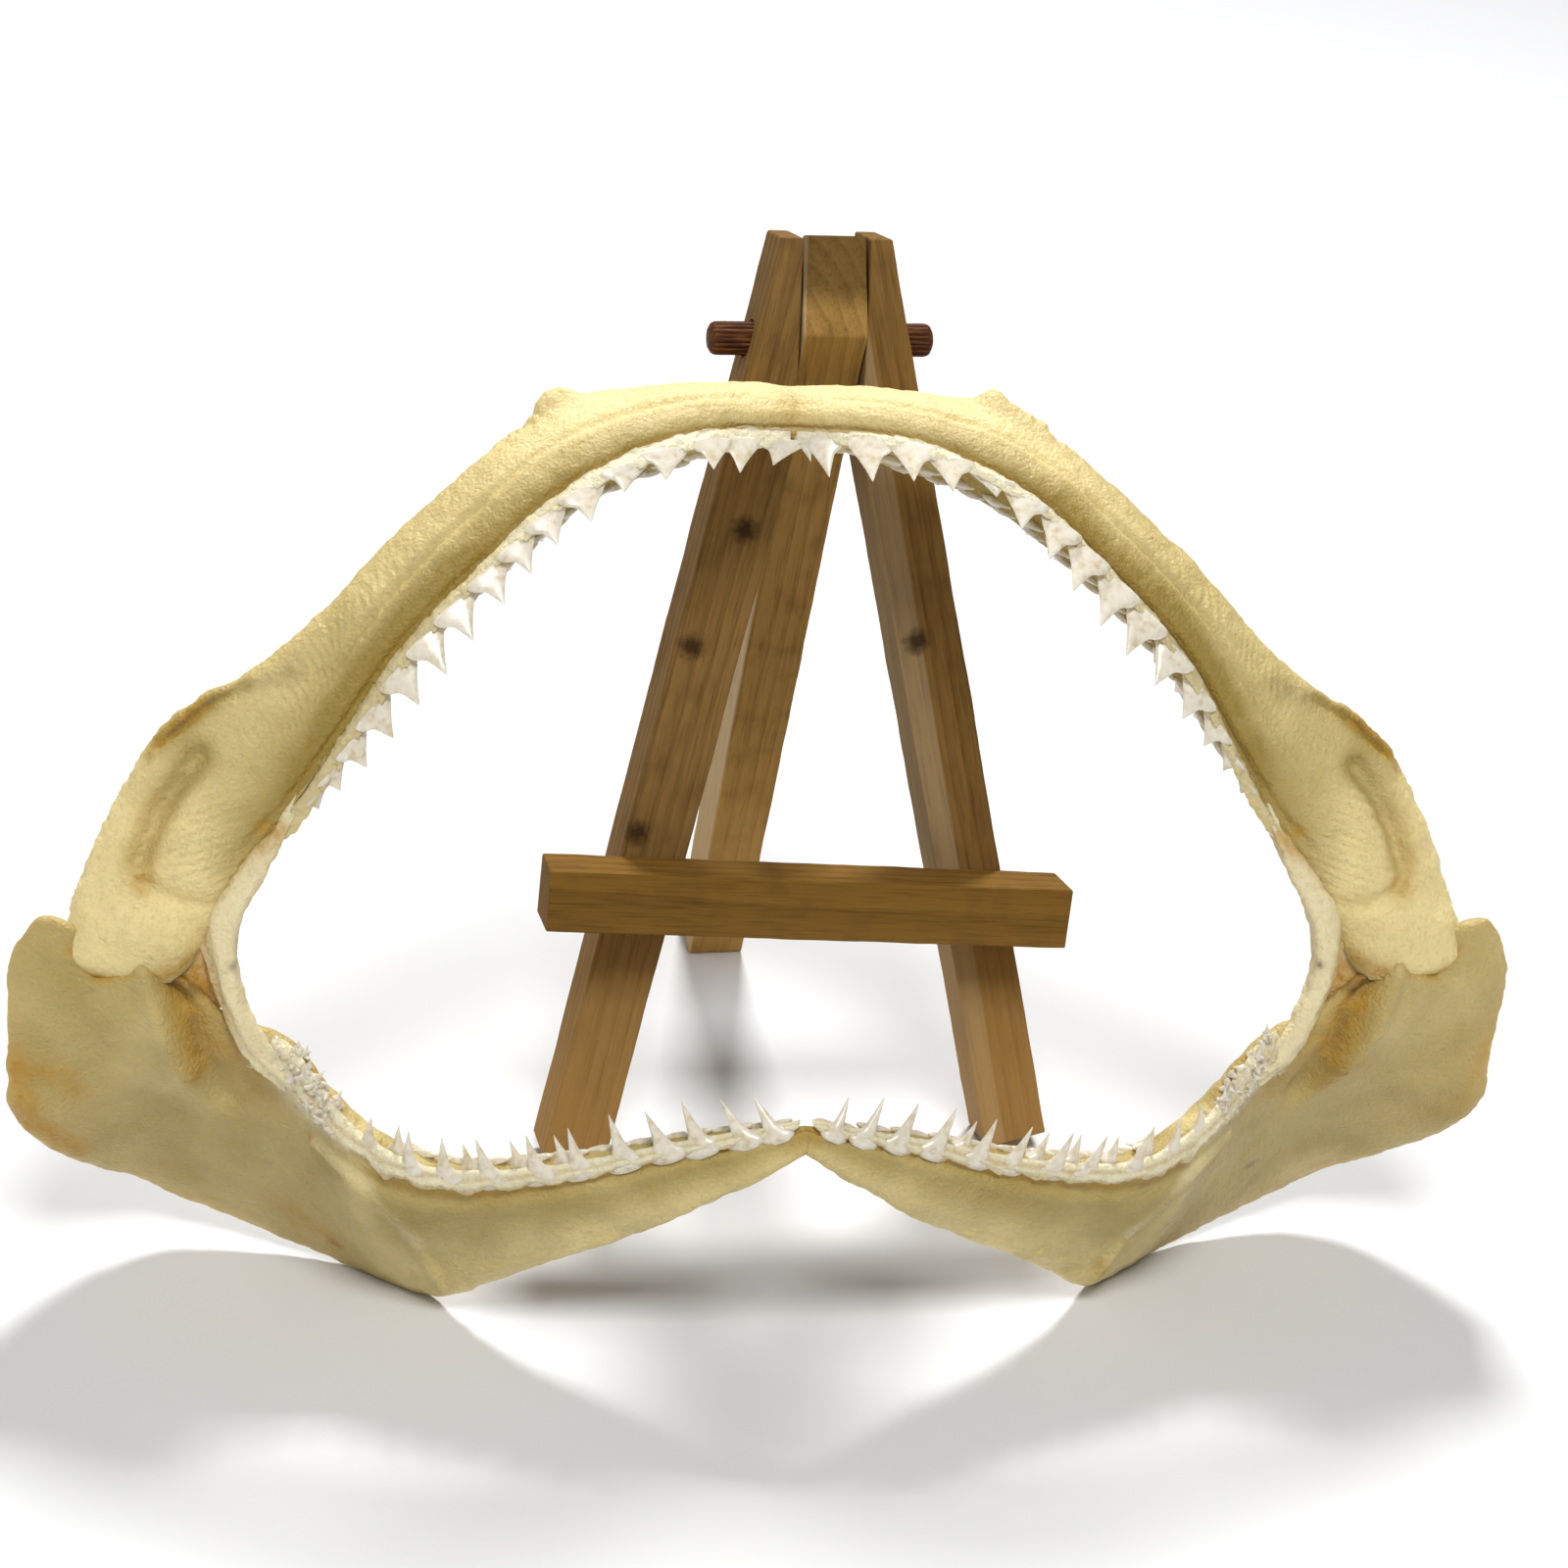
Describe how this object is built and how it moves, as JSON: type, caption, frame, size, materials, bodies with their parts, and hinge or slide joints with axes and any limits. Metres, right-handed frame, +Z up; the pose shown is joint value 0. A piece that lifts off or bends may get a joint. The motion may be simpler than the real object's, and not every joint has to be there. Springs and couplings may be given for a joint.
{
  "type": "shark jaw on mini easel",
  "caption": "Dried ivory shark jaws spread into a wide toothed ring, leaning on a small wooden easel with a shelf bar and a folding rear leg.",
  "frame": {"origin": "middle of the base of the box round the whole piece, on the table", "axes": "+X along the spread of the jaws, to the right of a viewer in front, +Y to the back, where the easel's rear leg stands, +Z up"},
  "size_m": [0.2558, 0.1608, 0.1691],
  "materials": {
    "cartilage": "dried ivory cartilage, softly waxy",
    "dried_gum": "dried gum and ligament, amber and cracked",
    "tooth_enamel": "white tooth enamel, satin gloss",
    "softwood": "bare planed softwood",
    "dowel_wood": "dark fluted dowel"
  },
  "bodies": {
    "specimen": {"upper_jaw_right": "cartilage", "upper_jaw_left": "cartilage", "lower_jaw_right": "cartilage", "lower_jaw_left": "cartilage", "mouth_corner_right": "dried_gum", "mouth_corner_left": "dried_gum", "easel_leg_left": "softwood", "easel_leg_right": "softwood", "easel_crossbar": "softwood", "easel_dowel": "dowel_wood"},
    "rear_leg": {"easel_leg_rear": "softwood"}
  },
  "joints": [
    {"name": "rear_leg_fold", "type": "hinge", "parent": "specimen", "child": "rear_leg", "pos_m": [0.0082, 0.017, 0.15025], "axis": [0.9978, 0.0663, 0], "range_deg": [-30, 0]}
  ]
}
